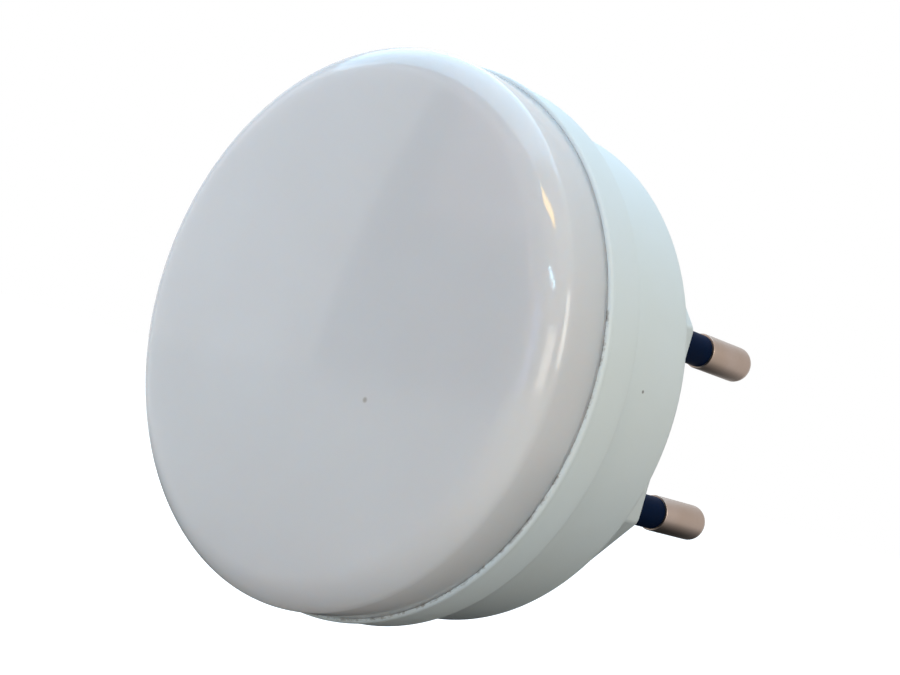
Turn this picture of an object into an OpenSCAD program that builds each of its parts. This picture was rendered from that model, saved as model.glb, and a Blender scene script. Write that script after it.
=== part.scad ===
// Plug-in night light with a round opal front.
//
// Every piece is drawn on the bench with the plug's face on the table and the
// light looking up: z is the height above the plug's face, and y runs along
// the line of the two pins. stand_up() then turns the piece into the object's
// own frame: the light looks along -Y, the pins point along +Y into the
// socket, the pins stand one above the other along Z, and the origin is the
// middle of the plug's face.

/* [Opal front] */
// Outer diameter of the opal diffuser
diffuser_d = 52; // [48:0.5:60]
// Height of the diffuser's side, from the collar to the top of its rounded edge
diffuser_side = 7.1; // [6.5:0.1:10]
// Radius of the diffuser's rounded edge
diffuser_edge_r = 3; // [2.6:0.1:4]
// How far the front bulges past the rounded edge
dome_rise = 1.5; // [0.5:0.1:3]
// Wall of the diffuser
diffuser_wall = 1.8; // [1.4:0.1:2.2]
// Thickness of the skirt that runs down inside the collar
skirt_wall = 1.3; // [1:0.1:1.6]

/* [Housing] */
// How far the collar's front lip stands out past the diffuser, all round
collar_lip = 0.35; // [0.2:0.05:0.6]
// Length of the collar's front lip
collar_lip_len = 0.8; // [0.7:0.1:1.2]
// How far the collar's wall is drawn in behind its lip
collar_waist = 0.35; // [0.2:0.05:0.5]
// Height of the collar
collar_len = 4.6; // [4:0.1:8]
// Wall of the collar beside the skirt
collar_wall = 2.2; // [2:0.1:3]
// Radius on the collar's back edge
collar_edge_r = 0.4; // [0.1:0.1:0.8]
// How far the rear housing is set back from the collar, all round
rear_step = 1.8; // [1.2:0.1:3]
// Height of the round part of the rear housing
rear_len = 10; // [9:0.5:20]
// Radius on the rear housing's back edge
rear_edge_r = 1; // [0.3:0.1:2]
// Wall of the rear housing and of the plug's neck
housing_wall = 1.8; // [1.4:0.1:2.2]
// Thickness of the rear housing's back
back_wall = 2; // [1.5:0.1:3]

/* [Plug] */
// Length of the neck that reaches into the socket's recess
neck_len = 23.5; // [18:0.5:30]
// Width of the neck across the pins
neck_w = 13.7; // [13:0.1:14.4]
// Length of the neck along the line of the pins
neck_span = 35.3; // [34.6:0.1:36]
// Length of the neck's flat sides, between the slanted ends
neck_flat = 21; // [20:0.5:24]
// Width of the blunt tip at each end of the neck
neck_tip = 1.4; // [0.8:0.1:3]
// Chamfer round the plug's face
face_chamfer = 0.8; // [0.3:0.1:1.2]
// Thickness of the plug's face
face_wall = 3; // [2:0.5:5]
// Distance between the pins' axes
pin_spacing = 18.6; // [17.5:0.1:19.2]
// Diameter of a pin's bare end
pin_d = 4; // [3.9:0.02:4.1]
// Length of a pin outside the plug
pin_len = 19; // [18.5:0.1:19.5]
// Radius on a pin's end
pin_end_r = 1.4; // [0.5:0.1:1.8]
// Diameter of a pin inside its sleeve
pin_core_d = 3; // [2.6:0.1:3.2]
// Outer diameter of the insulating sleeve
sleeve_d = 3.6; // [3.5:0.05:3.9]
// Length of the sleeve outside the plug
sleeve_len = 10.5; // [8:0.5:11]

/* [Press switch] */
// How far the front travels when it is pressed
press_travel = 0.25; // [0.1:0.05:0.3]
// Gap between the diffuser and the collar at rest
press_gap = 0.35; // [0.35:0.05:0.6]
// Side of the switch's square body
switch_side = 6; // [5:0.1:6.5]
// Height of the switch's body
switch_h = 3.5; // [3:0.1:3.6]
// Diameter of the switch's plunger
plunger_d = 3.4; // [2.6:0.1:3.6]
// How far the plunger stands out of the switch
plunger_h = 0.8; // [0.6:0.1:0.9]

/* [Circuit board] */
// Thickness of the board
board_t = 1.6; // [1:0.2:1.6]
// Number of LEDs
led_count = 4; // [4]
// Radius of the circle of LEDs
led_circle_r = 13; // [12:0.5:14]
// Side of an LED
led_side = 5; // [3:0.5:5]
// Height of an LED
led_h = 1.6; // [0.8:0.2:1.6]

/* [Hidden] */

// Smoothness of round shapes
$fn = 96;
// Slack that cuts past a face
cut = 1;
// Thickness of a slice that stands for a flat outline
sliver = 0.05;

// Clearances
slide_clearance = 0.3;
board_clearance = 0.5;
stop_clearance = 0.05;
fixed_clearance = 0.05;
sleeve_clearance = 0.03;

// Heights above the plug's face, from the back of the light to its front
rear_z = neck_len;
collar_z = rear_z + rear_len;
seam_z = collar_z + collar_len;
rim_z = seam_z + press_gap;
edge_top_z = seam_z + diffuser_side;

// Radii of the round pieces
diffuser_r = diffuser_d / 2;
collar_r = diffuser_r + collar_lip;
rear_r = collar_r - rear_step;
rear_bore_r = rear_r - housing_wall;
collar_back_r = collar_r - collar_waist / 2;
collar_waist_r = collar_r - collar_waist;
collar_bore_r = collar_r - collar_wall;
skirt_r = collar_bore_r - slide_clearance;
skirt_bore_r = skirt_r - skirt_wall;

// The collar's floor is the seat of the board, and its spigot enters the rear housing
floor_t = 0.9;
spigot_r = rear_bore_r - fixed_clearance;
spigot_wall = 1.9;
spigot_len = 3.5;
spigot_bore_r = spigot_r - spigot_wall;
board_z = collar_z + floor_t;
board_r = skirt_bore_r - board_clearance;
board_top_z = board_z + board_t;

// The skirt ends above the collar's floor by the travel and a little more
skirt_z = board_z + press_travel + slide_clearance;
shelf_wall = 1;
shelf_t = 1.5;
tray_seat = 0.35;

// Snap hooks on the skirt and their pockets in the collar
hook_count = 3;
hook_angle = 14;
hook_reach = 1;
hook_h = 1.2;
pocket_play_angle = 1.5;
hook_top_z = skirt_z + hook_h;

// The tray is pushed up against the shelf inside the skirt
tray_t = 0.9;
tray_top_z = rim_z + tray_seat;
tray_z = tray_top_z - tray_t;
tray_r = skirt_bore_r - fixed_clearance;
tray_window_r = led_side * 0.8;
cap_wall = 1;
cap_bore_r = switch_side * 0.8;
switch_top_z = board_top_z + switch_h;
plunger_top_z = switch_top_z + plunger_h;

// Screws and the posts that take them
screw_d = 2.4;
screw_head_d = 4.4;
screw_head_h = 1.2;
screw_len = 8;
screw_hole_d = 2.8;
post_d = 5.6;
post_gusset_t = 1.2;
screw_circle_r = spigot_bore_r - post_d / 2 - slide_clearance;

// Inner end of a pin: a flange on the plug's face, a stud and a riveted head
flange_d = 5.4;
flange_t = 1.2;
stud_d = 2.6;
rivet_d = 4.4;
rivet_h = 1;
strip_t = 0.5;
strip_w = 4;
strip_out = 3.7;
tab_rise = 0.6;
strip_slack = 0.15;
strip_y = pin_spacing / 2 + strip_out;
flange_z = face_wall;
strip_z = flange_z + flange_t;
rivet_z = strip_z + strip_t;
retainer_z = rivet_z + rivet_h;

// Insulating plate that holds both pins against the plug's face
retainer_t = 2;
retainer_w = 7;
retainer_end = 2.2;
retainer_boss_d = 5;
retainer_screw_len = retainer_z + retainer_t - face_wall - slide_clearance;

// Parts under the board
part_row_x = screw_circle_r - 7.5;
part_row_y = 8;
capacitor_size = [6, 13, 12];
electrolytic_d = 6.3;
electrolytic_h = 7;
electrolytic_at = [part_row_x, part_row_y];
rectifier_size = [8, 6.5, 2.6];
rectifier_at = [-part_row_x, part_row_y];
fuse_d = 3.4;
fuse_len = 9;
fuse_at = [-part_row_x, -part_row_y];
bleed_d = 2.4;
bleed_len = 6.4;
bleed_pitch = 4.6;
bleed_at = [[part_row_x, bleed_pitch / 2 - part_row_y], [part_row_x, -bleed_pitch / 2 - part_row_y]];
lead_d = 0.6;
lead_spread = 1.6;
body_lift = 0.3;

// ---- Helpers ----

// Turns a piece from the bench into the object's own frame
module stand_up() rotate([90, 0, 0]) children();

// Half of a turned disc's outline from z0 to z1, with its outer edges rounded
module disc_outline(r, z0, z1, r_low, r_high) {
    intersection() {
        translate([0, z0]) square([r, z1 - z0]);
        union() {
            translate([0, z0 + r_low]) square([r, z1 - z0 - r_low - r_high]);
            translate([0, z0]) square([r - r_low, z1 - z0 - r_high]);
            translate([0, z0 + r_low]) square([r - r_high, z1 - z0 - r_low]);
            translate([r - r_low, z0 + r_low]) circle(r = r_low);
            translate([r - r_high, z1 - r_high]) circle(r = r_high);
        }
    }
}

// Half of a domed lid's outline: a straight side, a rounded edge and a dome
// that leaves the rounded edge without a crease
module dome_outline(r, z0, edge_z, edge_r, rise) {
    seat = r - edge_r;
    dome_r = (seat * seat + rise * rise) / (2 * rise) + edge_r;
    edge_mid_z = edge_z - edge_r;
    dome_mid_z = edge_mid_z - sqrt(pow(dome_r - edge_r, 2) - seat * seat);
    crest = seat * dome_r / (dome_r - edge_r);
    intersection() {
        translate([0, dome_mid_z]) circle(r = dome_r, $fn = 720);
        union() {
            translate([0, z0]) square([r, edge_mid_z - z0]);
            translate([0, z0]) square([crest, edge_z + 2 * rise - z0]);
            translate([seat, edge_mid_z]) circle(r = edge_r);
        }
    }
}

module ring(r_out, r_in, z0, z1) {
    translate([0, 0, z0]) difference() {
        cylinder(r = r_out, h = z1 - z0);
        translate([0, 0, -cut]) cylinder(r = r_in, h = z1 - z0 + 2 * cut);
    }
}

// Puts a copy of its children at each of n places round the axis
module around(n, first = 0) {
    for (i = [0 : n - 1]) rotate([0, 0, first + i * 360 / n]) children();
}

// Outline of the plug's neck, drawn in from the outside by inset
module neck_outline(inset) {
    half_w = neck_w / 2 - inset;
    half_span = neck_span / 2 - inset;
    half_flat = neck_flat / 2 - inset / 2;
    half_tip = neck_tip / 2;
    polygon([
        [half_w, half_flat], [half_tip, half_span], [-half_tip, half_span], [-half_w, half_flat],
        [-half_w, -half_flat], [-half_tip, -half_span], [half_tip, -half_span], [half_w, -half_flat]]);
}

// ---- Opal front ----

module hook_sector(r_in, r_out, z0, z1, slope, angle) {
    rotate([0, 0, -angle / 2]) rotate_extrude(angle = angle)
        polygon([[r_in, z0], [r_out - slope, z0], [r_out, z0 + slope], [r_out, z1], [r_in, z1]]);
}

module diffuser() {
    inner_r = diffuser_r - diffuser_wall;
    inner_edge_r = diffuser_edge_r - diffuser_wall;
    color("#cfd0d4") stand_up() union() {
        rotate_extrude() difference() {
            dome_outline(diffuser_r, rim_z, edge_top_z, diffuser_edge_r, dome_rise);
            translate([0, -diffuser_wall])
                dome_outline(inner_r, rim_z - cut, edge_top_z, inner_edge_r, dome_rise);
        }
        ring(inner_r + cut / 4, skirt_bore_r - shelf_wall, tray_top_z, tray_top_z + shelf_t);
        ring(skirt_r, skirt_bore_r, skirt_z, tray_top_z + shelf_t / 2);
        around(hook_count, 90)
            hook_sector(skirt_r - skirt_wall / 2, skirt_r + hook_reach,
                hook_top_z - hook_h, hook_top_z, hook_reach / 2, hook_angle);
    }
}

module reflector_tray() {
    color("white") stand_up() difference() {
        union() {
            translate([0, 0, tray_z]) cylinder(r = tray_r, h = tray_t);
            translate([0, 0, tray_z])
                cylinder(r = cap_bore_r + cap_wall, h = plunger_top_z + cap_wall - tray_z);
        }
        translate([0, 0, tray_z - cut]) cylinder(r = cap_bore_r, h = plunger_top_z - tray_z + cut);
        around(led_count, 45) translate([led_circle_r, 0, tray_z - cut])
            cylinder(r = tray_window_r, h = tray_t + 2 * cut);
    }
}

module switch_plunger() {
    color("black") stand_up() translate([0, 0, switch_top_z - plunger_h])
        cylinder(d = plunger_d, h = 2 * plunger_h);
}

// ---- Housing ----

// Half of the collar's outline: a front lip, and a wall that is drawn in behind it
// and flares out again towards the back
module collar_outline() {
    lip_z = seam_z - collar_lip_len;
    flare_z = collar_z + collar_len / 4;
    disc_outline(collar_r, lip_z, seam_z, collar_lip_len * 0.4, collar_lip_len * 0.4);
    difference() {
        disc_outline(collar_back_r, collar_z, seam_z - collar_lip_len / 2, collar_edge_r, fixed_clearance);
        polygon([[collar_back_r, flare_z], [collar_waist_r, lip_z], [collar_waist_r, seam_z],
            [collar_r + cut, seam_z], [collar_r + cut, flare_z]]);
    }
}

module collar() {
    color("#c4cdcf") stand_up() difference() {
        union() {
            rotate_extrude() collar_outline();
            translate([0, 0, collar_z - spigot_len]) cylinder(r = spigot_r, h = spigot_len + floor_t);
        }
        translate([0, 0, board_z]) cylinder(r = collar_bore_r, h = collar_len);
        translate([0, 0, collar_z - spigot_len - cut])
            cylinder(r = spigot_bore_r, h = spigot_len + floor_t + 2 * cut);
        around(hook_count, 90)
            hook_sector(collar_bore_r - cut, skirt_r + hook_reach + slide_clearance,
                hook_top_z - hook_h - press_travel - slide_clearance, hook_top_z + stop_clearance,
                0, hook_angle + 2 * pocket_play_angle);
    }
}

module retainer_boss() {
    difference() {
        translate([0, 0, face_wall / 2]) cylinder(d = retainer_boss_d, h = retainer_z - face_wall / 2);
        translate([0, 0, face_wall]) cylinder(d = screw_d + 2 * fixed_clearance, h = retainer_z);
    }
}

module rear_housing() {
    color("#c5d0d2") stand_up() union() {
        rear_shell();
        retainer_boss();
    }
}

module rear_shell() {
    post_len = board_z - rear_z - back_wall - fixed_clearance;
    difference() {
        union() {
            difference() {
                rotate_extrude() disc_outline(rear_r, rear_z, collar_z, rear_edge_r, fixed_clearance);
                translate([0, 0, rear_z + back_wall]) cylinder(r = rear_bore_r, h = rear_len);
            }
            translate([0, 0, face_chamfer]) linear_extrude(neck_len - face_chamfer + back_wall / 2)
                neck_outline(0);
            hull() {
                linear_extrude(sliver) neck_outline(face_chamfer);
                translate([0, 0, face_chamfer]) linear_extrude(sliver) neck_outline(0);
            }
            around(2) {
                translate([screw_circle_r, 0, rear_z + back_wall / 2])
                    cylinder(d = post_d, h = post_len + back_wall / 2);
                translate([screw_circle_r, -post_gusset_t / 2, rear_z + back_wall / 2])
                    cube([rear_bore_r - screw_circle_r + housing_wall / 2, post_gusset_t,
                        collar_z - spigot_len - rear_z - back_wall]);
            }
        }
        translate([0, 0, face_wall]) linear_extrude(neck_len + back_wall) neck_outline(housing_wall);
        around(2, 90) translate([pin_spacing / 2, 0, -cut])
            cylinder(d = sleeve_d + 2 * sleeve_clearance, h = face_wall + 2 * cut);
        around(2) translate([screw_circle_r, 0, board_top_z - screw_len - cut])
            cylinder(d = screw_d + 2 * fixed_clearance, h = screw_len + cut);
    }
}

// ---- Plug ----

// One pin on the axis: the bare end, the core in the sleeve, the flange, the stud and its head
module pin_shape() {
    core_top_z = strip_z;
    tip_len = pin_len - sleeve_len;
    rotate_extrude() union() {
        disc_outline(pin_d / 2, -pin_len, -sleeve_len, pin_end_r, fixed_clearance);
        translate([0, -sleeve_len - cut]) square([pin_core_d / 2, sleeve_len + flange_z + 2 * cut]);
        translate([0, flange_z]) square([flange_d / 2, flange_t]);
        translate([0, flange_z]) square([stud_d / 2, retainer_z - flange_z]);
        translate([0, rivet_z]) square([rivet_d / 2, rivet_h]);
    }
}

module pin(side) color("#a8a4a2") stand_up() translate([0, side * pin_spacing / 2, 0]) pin_shape();

module sleeve(side) {
    color("#12161f") stand_up() translate([0, side * pin_spacing / 2, 0])
        ring(sleeve_d / 2, pin_core_d / 2 + fixed_clearance, -sleeve_len + fixed_clearance, face_wall);
}

// Brass strip from a pin's stud up to the board, where its tab is soldered
module contact(side) {
    color("#b8924a") stand_up() scale([1, side, 1]) difference() {
        union() {
            translate([-strip_w / 2, pin_spacing / 2 - rivet_d / 2, strip_z])
                cube([strip_w, strip_out + rivet_d / 2, strip_t]);
            translate([-strip_w / 2, strip_y - strip_t, strip_z])
                cube([strip_w, strip_t, board_z - strip_z]);
            translate([-strip_w / 4, strip_y - strip_t, strip_z])
                cube([strip_w / 2, strip_t, board_top_z + tab_rise - strip_z]);
        }
        translate([0, pin_spacing / 2, strip_z - cut])
            cylinder(d = stud_d + 2 * fixed_clearance, h = strip_t + 2 * cut);
    }
}

module pin_retainer() {
    half_len = pin_spacing / 2 + retainer_end;
    color("#d8d2c0") stand_up() difference() {
        translate([-retainer_w / 2, -half_len, retainer_z]) cube([retainer_w, 2 * half_len, retainer_t]);
        translate([0, 0, retainer_z - cut]) cylinder(d = screw_hole_d, h = retainer_t + 2 * cut);
    }
}

// A pan-head screw whose head sits on z = 0
module screw(len) {
    slot_w = 0.6;
    difference() {
        union() {
            translate([0, 0, -len]) cylinder(d = screw_d, h = len + cut / 2);
            cylinder(d = screw_head_d, h = screw_head_h);
        }
        for (turn = [0, 90]) rotate([0, 0, turn])
            translate([-screw_head_d / 3, -slot_w / 2, screw_head_h / 2])
                cube([screw_head_d * 2 / 3, slot_w, screw_head_h]);
    }
}

module retainer_screw() {
    color("silver") stand_up() translate([0, 0, retainer_z + retainer_t]) screw(retainer_screw_len);
}

// ---- Circuit board ----

module circuit_board() {
    color("seagreen") stand_up() difference() {
        translate([0, 0, board_z]) cylinder(r = board_r, h = board_t);
        around(2) translate([screw_circle_r, 0, board_z - cut])
            cylinder(d = screw_hole_d, h = board_t + 2 * cut);
        for (side = [-1, 1])
            translate([-strip_w / 4 - strip_slack, side * (strip_y - strip_t / 2) - strip_t / 2 - strip_slack,
                board_z - cut])
                cube([strip_w / 2 + 2 * strip_slack, strip_t + 2 * strip_slack, board_t + 2 * cut]);
    }
}

module board_screws() {
    color("silver") stand_up() around(2) translate([screw_circle_r, 0, board_top_z]) screw(screw_len - 1);
}

module leds() {
    lens_r = led_side * 0.36;
    lens_depth = 0.4;
    color("#f2e6a0") stand_up() around(led_count, 45) translate([led_circle_r, 0, board_top_z])
        difference() {
            translate([-led_side / 2, -led_side / 2, 0]) cube([led_side, led_side, led_h]);
            translate([0, 0, led_h - lens_depth]) cylinder(r = lens_r, h = led_h);
        }
}

module switch_body() {
    color("#26282c") stand_up() difference() {
        translate([-switch_side / 2, -switch_side / 2, board_top_z])
            cube([switch_side, switch_side, switch_h]);
        translate([0, 0, switch_top_z - plunger_h - press_travel - slide_clearance])
            cylinder(d = plunger_d + 2 * fixed_clearance, h = switch_h);
    }
}

module dropper_capacitor() {
    color("#d9c23a") stand_up()
        translate([-capacitor_size.x / 2, -capacitor_size.y / 2, board_z - capacitor_size.z])
            cube(capacitor_size);
}

module smoothing_capacitor() {
    vent_r = 0.4;
    groove_z = 1.2;
    color("#1c2c50") stand_up() translate([electrolytic_at.x, electrolytic_at.y, board_z - electrolytic_h])
        rotate_extrude() difference() {
            disc_outline(electrolytic_d / 2, 0, electrolytic_h, vent_r, vent_r);
            translate([electrolytic_d / 2 + vent_r / 2, electrolytic_h - groove_z]) circle(r = vent_r);
        }
}

module bridge_rectifier() {
    color("#202020") stand_up()
        translate([rectifier_at.x - rectifier_size.x / 2, rectifier_at.y - rectifier_size.y / 2,
            board_z - rectifier_size.z])
            cube(rectifier_size);
}

// A resistor lying under the board along x, with its two leads up to the board
module axial_resistor(d, len) {
    mid_z = board_z - body_lift - d / 2;
    translate([-len / 2, 0, mid_z]) rotate([0, 90, 0]) rotate_extrude()
        disc_outline(d / 2, 0, len, d / 5, d / 5);
    for (side = [-1, 1]) {
        lead_x = side * (len / 2 + lead_spread);
        translate([side < 0 ? lead_x : 0, 0, mid_z]) rotate([0, 90, 0])
            cylinder(d = lead_d, h = len / 2 + lead_spread);
        translate([lead_x, 0, mid_z]) cylinder(d = lead_d, h = board_z - mid_z);
        translate([lead_x, 0, mid_z]) sphere(d = lead_d, $fn = 32);
    }
}

module fuse_resistor() {
    color("#4f7a4a") stand_up() translate([fuse_at.x, fuse_at.y, 0]) axial_resistor(fuse_d, fuse_len);
}

module bleed_resistors() {
    color("#c8a878") stand_up() for (at = bleed_at)
        translate([at.x, at.y, 0]) axial_resistor(bleed_d, bleed_len);
}

diffuser();
reflector_tray();
switch_plunger();
collar();
rear_housing();
pin(1);  // pin_upper
pin(-1);  // pin_lower
sleeve(1);  // sleeve_upper
sleeve(-1);  // sleeve_lower
contact(1);  // contact_upper
contact(-1);  // contact_lower
pin_retainer();
retainer_screw();
circuit_board();
board_screws();
leds();
switch_body();
dropper_capacitor();
smoothing_capacitor();
bridge_rectifier();
fuse_resistor();
bleed_resistors();
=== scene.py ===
# %% [markdown]
# # A plug-in night light with an opal front
#
# The object is a round night light that plugs straight into a recessed mains socket. An opal front
# with a soft dome sits on a white collar, the collar closes a white rear housing, and a hollow neck
# carries two round pins with black sleeves. The front can be pressed: it slides a quarter of a
# millimetre and works a switch inside.
#
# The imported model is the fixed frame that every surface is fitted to. It is loaded first.

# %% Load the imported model
import math

import bmesh
import bpy
from mathutils import Matrix, Vector


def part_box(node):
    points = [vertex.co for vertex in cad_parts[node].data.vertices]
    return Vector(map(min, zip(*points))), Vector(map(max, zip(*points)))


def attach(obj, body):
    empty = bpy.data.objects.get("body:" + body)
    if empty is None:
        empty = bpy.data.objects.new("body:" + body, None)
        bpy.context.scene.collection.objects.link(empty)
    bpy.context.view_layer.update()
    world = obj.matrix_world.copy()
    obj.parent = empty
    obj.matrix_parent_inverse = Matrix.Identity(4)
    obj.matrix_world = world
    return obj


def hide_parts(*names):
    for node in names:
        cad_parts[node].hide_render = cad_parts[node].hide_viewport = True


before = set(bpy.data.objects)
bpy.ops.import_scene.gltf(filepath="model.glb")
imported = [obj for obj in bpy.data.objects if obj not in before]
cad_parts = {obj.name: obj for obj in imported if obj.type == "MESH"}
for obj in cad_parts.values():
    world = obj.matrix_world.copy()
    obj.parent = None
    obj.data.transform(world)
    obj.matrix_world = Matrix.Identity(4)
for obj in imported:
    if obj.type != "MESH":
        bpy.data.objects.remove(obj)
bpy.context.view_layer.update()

MM = 0.001
print("nodes in the frame:", len(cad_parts))

# %% [markdown]
# ## Camera
#
# The photographer stood close to the light, a little below its middle, and saw the front from the
# right with the camera tilted. A camera could be dragged into place, but then it couldn't be
# corrected one number at a time. So the view is written as a maker would describe it: a point to
# look at, a distance, two angles and a roll. Azimuth 0 looks along +Y, straight at the front.

# %% Set up the camera
AIM = Vector((1.14, -30.0, 1.85)) * MM
DISTANCE = 182.3 * MM
AZIMUTH = math.radians(43.08)
ELEVATION = math.radians(-2.0)
ROLL = math.radians(16.45)
FOCAL_LENGTH = 77.04
FILM_WIDTH = 36
NEAREST_SEEN = 0.01

towards_camera = Vector((
    math.sin(AZIMUTH) * math.cos(ELEVATION),
    -math.cos(AZIMUTH) * math.cos(ELEVATION),
    math.sin(ELEVATION)))
camera = bpy.data.objects.new("camera", bpy.data.cameras.new("camera"))
bpy.context.scene.collection.objects.link(camera)
level_view = (-towards_camera).to_track_quat("-Z", "Y").to_matrix().to_4x4()
stand = Matrix.Translation(AIM + DISTANCE * towards_camera)
camera.matrix_world = stand @ level_view @ Matrix.Rotation(ROLL, 4, "Z")
camera.data.sensor_width = FILM_WIDTH
camera.data.lens = FOCAL_LENGTH
camera.data.clip_start = NEAREST_SEEN
bpy.context.scene.camera = camera
bpy.context.scene.view_settings.view_transform = "Standard"
print("camera at", [round(c / MM, 1) for c in camera.matrix_world.translation], "mm")

# %% [markdown]
# ## Tools for surfaces
#
# Nearly every piece of this object is turned or moulded round one axis, so one helper spins a closed
# profile round a line along Y. A profile is a list of points (radius, y), and its round stretches
# come from arcs. The result has even rows of quads, which take smooth shading and a clean highlight,
# where a mesh of long triangles would show streaks in a glossy surface.

# %% Turn profiles into meshes
ROUND_SIDES = 256
CREASE = math.radians(30)
ON_AXIS = 1e-6


def arc(centre_r, centre_y, radius, start, end, steps):
    """Points along an arc of a profile. At 0 degrees it points outwards, at 90 degrees along -Y."""
    angles = [math.radians(start + (end - start) * i / steps) for i in range(steps + 1)]
    return [(centre_r + radius * math.cos(a), centre_y - radius * math.sin(a)) for a in angles]


def smooth(data):
    """Smooth shading that breaks only at edges sharper than the crease."""
    data.shade_smooth()
    data.set_sharp_from_angle(angle=CREASE)


def to_object(name, mesh):
    """Turns a finished mesh into an object of the scene."""
    data = bpy.data.meshes.new(name)
    mesh.to_mesh(data)
    mesh.free()
    smooth(data)
    piece = bpy.data.objects.new(name, data)
    bpy.context.scene.collection.objects.link(piece)
    return piece


def spin(name, profile, axis_z=0.0, sides=ROUND_SIDES):
    """A closed profile in millimetres, spun round the line along Y at height axis_z."""
    mesh = bmesh.new()
    turns = [2 * math.pi * i / sides for i in range(sides)]
    rows = []
    for r, y in profile:
        if r < ON_AXIS:
            rows.append([mesh.verts.new((0, y * MM, axis_z * MM))] * sides)
            continue
        ring = [(r * MM * math.cos(t), y * MM, (axis_z + r * math.sin(t)) * MM) for t in turns]
        rows.append([mesh.verts.new(point) for point in ring])
    for row, following in zip(rows, rows[1:] + rows[:1]):
        for i in range(sides):
            corners = [row[i], row[(i + 1) % sides], following[(i + 1) % sides], following[i]]
            corners = list(dict.fromkeys(corners))
            if len(corners) > 2:
                mesh.faces.new(corners)
    bmesh.ops.recalc_face_normals(mesh, faces=mesh.faces)
    return to_object(name, mesh)


print("a large spun piece has", ROUND_SIDES, "sides")

# %% Measure a node and place a piece


def box_corners(node):
    """A node's lowest and highest corners at rest, in millimetres."""
    low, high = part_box(node)
    return low / MM, high / MM


def place(piece, body, slot, material, *nodes):
    """Gives a finished piece its material and its body, and says which CAD nodes it stands for."""
    piece.data.materials.clear()
    piece.data.materials.append(material)
    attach(piece, body)
    if nodes:
        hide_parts(*nodes)
    y = [v.co.y / MM for v in piece.data.vertices]
    print(f"{piece.name}: {len(piece.data.polygons)} faces, y {min(y):.2f} to {max(y):.2f} mm")


print("front in the packed model:", [round(c, 2) for c in box_corners("diffuser")[1]], "mm")

# %% [markdown]
# ## Tools for materials
#
# Colours are written as the hex values that a picture program shows, and one function turns them to
# the linear values that the renderer adds up. One helper adds a node with its settings and links.
# Patterns read the object's own coordinates in metres, so their scale comes from a real size. A
# picture could carry the patterns too, but it would stretch round these curved pieces.

# %% Helpers for colours and nodes


def linear(colour):
    """An sRGB hex colour as a linear RGBA value."""
    parts = [int(colour[i:i + 2], 16) / 255 for i in (1, 3, 5)]
    return tuple(c / 12.92 if c <= 0.04045 else ((c + 0.055) / 1.055) ** 2.4 for c in parts) + (1.0,)


def add(tree, kind, inputs=None, **settings):
    """Adds a node, sets its settings, and fills its inputs with values or links."""
    node = tree.nodes.new("ShaderNode" + kind)
    for name, value in settings.items():
        setattr(node, name, value)
    for name, value in (inputs or {}).items():
        if isinstance(value, bpy.types.NodeSocket):
            tree.links.new(value, node.inputs[name])
        else:
            node.inputs[name].default_value = value
    return node


def new_material(name):
    """An empty material: itself, its tree, its Principled shader and the object's coordinates."""
    material = bpy.data.materials.new(name)
    material.use_nodes = True
    tree = material.node_tree
    return material, tree, tree.nodes["Principled BSDF"], add(tree, "TexCoord").outputs["Object"]


def finished(material):
    """Says which material was made, and hands it over."""
    print(f"{material.name}: {len(material.node_tree.nodes)} nodes")
    return material


def per_metre(size_mm):
    """Texture scale at which one cell of a pattern is as wide as this size."""
    return 1 / (size_mm * MM)


print("one level above black in linear light:", round(linear("#010101")[0], 5))

# %% [markdown]
# ## Uneven tone and gloss
#
# No real plastic or plate has one flat colour: its tone drifts from patch to patch, and so does its
# gloss. A painted picture could give that, but a noise that mixes two close tones, or runs between
# two values of roughness, has no seams and keeps its real size. Where a worn patch is duller as
# well, one noise drives both.

# %% Tone and gloss from a pattern


def drifting_colour(tree, noise, span, colours):
    """The first colour, turning to the second as the noise rises through the span."""
    tone = add(tree, "MapRange", {"Value": noise.outputs["Fac"], "From Min": span[0],
                                  "From Max": span[1]}).outputs[0]
    return add(tree, "Mix", {"Factor": tone, "A": linear(colours[0]), "B": linear(colours[1])},
               data_type="RGBA").outputs["Result"]


def uneven_gloss(tree, shader, noise, span, roughness):
    """Roughness that goes from one value to the other as the noise rises through the span."""
    gloss = add(tree, "MapRange", {"Value": noise.outputs["Fac"], "From Min": span[0],
                                   "From Max": span[1], "To Min": roughness[0],
                                   "To Max": roughness[1]}).outputs[0]
    tree.links.new(gloss, shader.inputs["Roughness"])


print("mid grey and its linear value:", "#808080", round(linear("#808080")[0], 3))

# %% [markdown]
# ## Marks of use and painted seam shade
#
# Both plastics carry the same kinds of marks: a speck at a known place, and a dark brown line in the
# seam, only round the lower right. That line is partly dirt that has collected in the seam and partly
# painted shade of the seam's gap. They could be drawn on a picture, but for so few marks the distance
# from a known point or line is enough.

# %% Specks, seam dirt and painted seam shade
SEAM_Y = -38.1
SEAM_R = 26
SPECK_CORE = 0.4
SEAM_DIRT_AND_SHADE_COLOUR = "#6B5548"
DIRT_AND_SHADE_MIDDLE = math.radians(-41)
DIRT_AND_SHADE_ENDS = (0.3, 0.55)
DIRT_AND_SHADE_PATCH = 1.1
DIRT_AND_SHADE_SOFTNESS = 0.2
DIRT_AND_SHADE_MOST = 0.8


def speck(tree, position, centre_mm, radius_mm):
    """1 inside a small round mark, falling to 0 at its radius."""
    distance = add(tree, "VectorMath", {0: position, 1: Vector(centre_mm) * MM}, operation="DISTANCE")
    return add(tree, "MapRange", {
        "Value": distance.outputs["Value"], "From Min": radius_mm * MM * SPECK_CORE,
        "From Max": radius_mm * MM, "To Min": 1.0, "To Max": 0.0}).outputs[0]


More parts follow.
